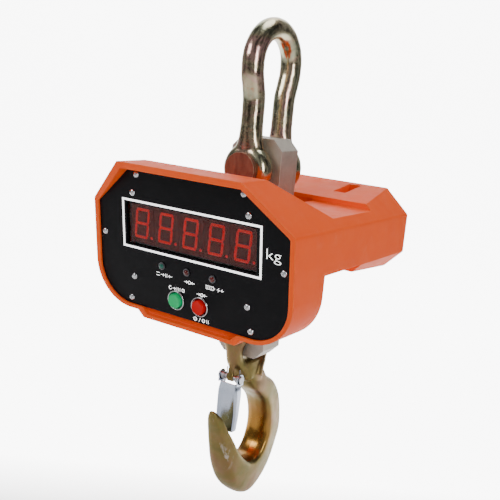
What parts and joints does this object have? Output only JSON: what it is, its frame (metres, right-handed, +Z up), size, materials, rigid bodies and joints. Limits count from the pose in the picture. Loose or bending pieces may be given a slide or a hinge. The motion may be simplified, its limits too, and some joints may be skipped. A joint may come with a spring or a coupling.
{
  "type": "crane scale",
  "caption": "Hanging crane scale: shackle and load cell through an orange cast housing with a tilted digit display and two keys, over a hook with a sprung safety latch.",
  "frame": {"origin": "inner contact point of the shackle's crown, where the crane's hook carries it", "axes": "+Z up, -Y to the front where the display faces, +X to the right seen from the front"},
  "size_m": [0.262, 0.2895, 0.585],
  "materials": {
    "housing_paint": "semi-gloss orange powder coat on cast aluminium",
    "panel_face": "satin black",
    "window": "dark red, clear",
    "print_white": "matt white",
    "led_block": "dark",
    "led_segment": "dull red, unlit",
    "circuit_board": "green",
    "chip_black": "matt",
    "gasket_rubber": "matt",
    "zinc_steel": "bright zinc",
    "bright_steel": "polished",
    "cell_nickel": "nickel plated, satin",
    "shackle_zinc": "yellow zinc passivate, glossy",
    "hook_zinc": "yellow zinc passivate, satin",
    "key_green": "gloss",
    "key_red": "gloss",
    "lamp_lens": "clear, unlit",
    "battery_case": "matt",
    "lead_sheath": "matt"
  },
  "bodies": {
    "scale_body": {"load_cell": "cell_nickel", "gauge_cover_front": "zinc_steel", "gauge_cover_rear": "zinc_steel", "cell_bracket_right": "zinc_steel", "cell_bracket_left": "zinc_steel", "bracket_bolts": "zinc_steel", "lead_gland": "zinc_steel", "signal_lead": "lead_sheath", "housing": "housing_paint", "rear_gasket": "gasket_rubber", "rear_cover": "housing_paint", "rear_cover_screws": "bright_steel", "charging_socket": "chip_black", "charging_socket_nut": "zinc_steel", "front_panel": "panel_face", "panel_gasket": "gasket_rubber", "display_window": "window", "window_frame_print": "print_white", "panel_screws": "bright_steel", "board_screws": "bright_steel", "standoffs": "zinc_steel", "standoff_screws": "zinc_steel", "digit_modules": "led_block", "digit_segments": "led_segment", "display_board": "circuit_board", "display_chips": "chip_black", "lamp_holders": "bright_steel", "lamps": "lamp_lens", "recall_bezel": "bright_steel", "recall_nut": "zinc_steel", "recall_switch": "chip_black", "tare_bezel": "bright_steel", "tare_nut": "zinc_steel", "tare_switch": "chip_black", "weighing_board_posts": "zinc_steel", "weighing_board": "circuit_board", "weighing_board_chips": "chip_black", "battery": "battery_case", "battery_strap": "zinc_steel", "battery_terminals": "zinc_steel"},
    "shackle": {"shackle_bow": "shackle_zinc", "shackle_pin": "shackle_zinc", "shackle_pin_washer": "zinc_steel", "shackle_split_pin": "zinc_steel"},
    "hook": {"hook": "hook_zinc", "hook_pin": "hook_zinc", "hook_pin_washer": "zinc_steel", "hook_split_pin": "zinc_steel", "latch_pin": "zinc_steel", "latch_spring": "zinc_steel"},
    "latch": {"latch": "zinc_steel"},
    "recall_key": {"recall_button": "key_green"},
    "tare_key": {"tare_button": "key_red"}
  },
  "joints": [
    {"name": "shackle_swing", "type": "hinge", "parent": "shackle", "child": "scale_body", "pos_m": [0, 0, -0.143], "axis": [0, 1, 0], "range_deg": [-90, 90]},
    {"name": "hook_swing", "type": "hinge", "parent": "scale_body", "child": "hook", "pos_m": [0, 0, -0.3285], "axis": [0, 1, 0], "range_deg": [-80, 80]},
    {"name": "latch_pivot", "type": "hinge", "parent": "hook", "child": "latch", "pos_m": [0, -0.029, -0.3918], "axis": [1, 0, 0], "range_deg": [0, 30], "stiffness_Nm_per_rad": 0.02, "springref_deg": -28.65},
    {"name": "recall_press", "type": "slide", "parent": "scale_body", "child": "recall_key", "axis": [0, 0.9923, 0.1236], "range_m": [0, 0.0025], "stiffness_N_per_m": 300},
    {"name": "tare_press", "type": "slide", "parent": "scale_body", "child": "tare_key", "axis": [0, 0.9923, 0.1236], "range_m": [0, 0.0025], "stiffness_N_per_m": 300}
  ]
}
